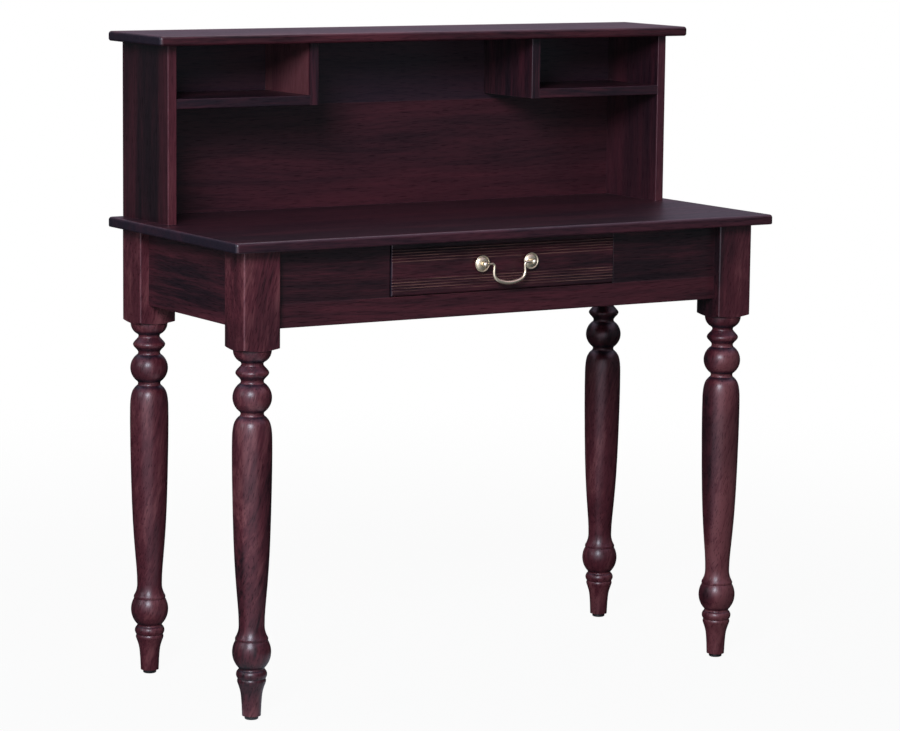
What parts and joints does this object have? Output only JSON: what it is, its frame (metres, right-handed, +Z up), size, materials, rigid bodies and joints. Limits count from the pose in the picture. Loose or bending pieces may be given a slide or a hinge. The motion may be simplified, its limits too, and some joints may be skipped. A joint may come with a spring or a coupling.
{
  "type": "writing desk",
  "caption": "Small dark wooden writing desk on turned legs, with a shallow drawer on a brass bail handle and an open hutch of pigeonholes at the back of its top.",
  "frame": {"origin": "on the floor, under the middle of the writing top", "axes": "+Z up, -Y to the sitter's side, where the drawer opens, +X to the sitter's right"},
  "size_m": [1.02, 0.45, 1.067],
  "materials": {
    "top_wood": "dark mahogany stain under satin lacquer, grain along the top",
    "case_wood": "dark mahogany stain under satin lacquer, grain along the pieces",
    "leg_wood": "dark mahogany stain under satin lacquer, upright grain, worn at the arrises",
    "hutch_wood": "dark mahogany stain under satin lacquer",
    "frame_wood": "plain unstained wood of the hidden frame",
    "drawer_wood": "plain wood of the drawer's inside, thinly sealed",
    "brass": "polished pale brass, darker in its hollows",
    "steel": "plain zinc-plated fasteners",
    "glide": "black moulded glide"
  },
  "bodies": {
    "desk": {"cleat_screws": "steel", "front_left_corner_block": "frame_wood", "front_left_glide": "glide", "front_left_leg": "leg_wood", "front_left_panel": "case_wood", "front_rail": "case_wood", "front_right_corner_block": "frame_wood", "front_right_glide": "glide", "front_right_leg": "leg_wood", "front_right_panel": "case_wood", "hutch_back_screws": "steel", "hutch_dowels": "drawer_wood", "hutch_left_side": "hutch_wood", "hutch_lower_back": "hutch_wood", "hutch_right_side": "hutch_wood", "hutch_screws": "steel", "hutch_top": "hutch_wood", "hutch_upper_back": "hutch_wood", "left_divider": "hutch_wood", "left_drawer_guide": "frame_wood", "left_drawer_kicker": "frame_wood", "left_drawer_runner": "frame_wood", "left_drawer_stop": "frame_wood", "left_shelf": "hutch_wood", "left_side_apron": "case_wood", "left_top_cleat": "frame_wood", "leg_bolts": "steel", "leg_nuts": "steel", "leg_washers": "steel", "rear_apron": "case_wood", "rear_left_corner_block": "frame_wood", "rear_left_glide": "glide", "rear_left_leg": "leg_wood", "rear_right_corner_block": "frame_wood", "rear_right_glide": "glide", "rear_right_leg": "leg_wood", "rear_top_cleat": "frame_wood", "right_divider": "hutch_wood", "right_drawer_guide": "frame_wood", "right_drawer_kicker": "frame_wood", "right_drawer_runner": "frame_wood", "right_drawer_stop": "frame_wood", "right_shelf": "hutch_wood", "right_side_apron": "case_wood", "right_top_cleat": "frame_wood", "writing_top": "top_wood"},
    "drawer": {"drawer_front": "case_wood", "drawer_back": "drawer_wood", "drawer_bottom": "drawer_wood", "drawer_left_side": "drawer_wood", "drawer_right_side": "drawer_wood", "left_rosette": "brass", "right_rosette": "brass", "left_handle_post": "brass", "right_handle_post": "brass", "handle_nuts": "brass"},
    "bail": {"bail_handle": "brass"}
  },
  "joints": [
    {"name": "drawer_slide", "type": "slide", "parent": "desk", "child": "drawer", "axis": [0, -1, 0], "range_m": [0, 0.24]},
    {"name": "bail_swing", "type": "hinge", "parent": "drawer", "child": "bail", "pos_m": [0, -0.2022, 0.70625], "axis": [-1, 0, 0], "range_deg": [0, 150]}
  ]
}
